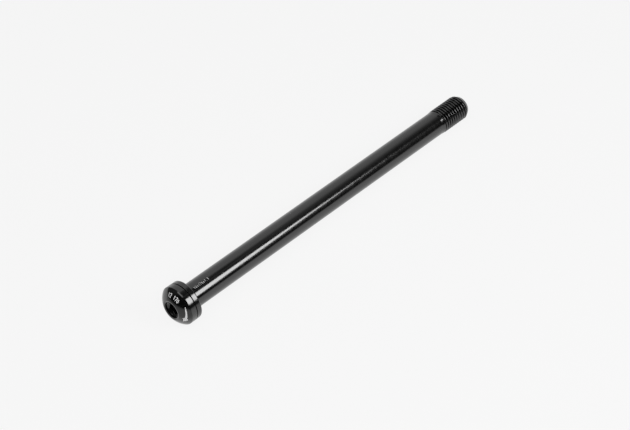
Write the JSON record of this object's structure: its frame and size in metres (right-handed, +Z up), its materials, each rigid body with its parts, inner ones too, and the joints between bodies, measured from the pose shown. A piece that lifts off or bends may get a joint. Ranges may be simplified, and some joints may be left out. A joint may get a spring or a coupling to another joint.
{
  "type": "bicycle thru axle",
  "caption": "Round black thru axle with a domed hex socket head, a captive washer that turns behind the head, a long plain shank and a threaded far end.",
  "frame": {"origin": "on the axle's axis, in the plane of the washer's bearing face", "axes": "+Y along the axle from the head to the threaded end, +Z up as the axle lies"},
  "size_m": [0.0182, 0.1853, 0.0182],
  "materials": {
    "black_anodised_axle": "gloss black anodised, fine turning marks",
    "black_anodised_washer": "gloss black anodised, fine turning marks",
    "white_marks": "thin matt white marking on the anodised head and shank, in the visual model only"
  },
  "bodies": {
    "axle": {"axle": "black_anodised_axle"},
    "washer": {"washer": "black_anodised_washer"}
  },
  "joints": [
    {"name": "washer_spin", "type": "hinge", "parent": "axle", "child": "washer", "pos_m": [0, 0, 0], "axis": [0, 1, 0], "continuous": true}
  ]
}
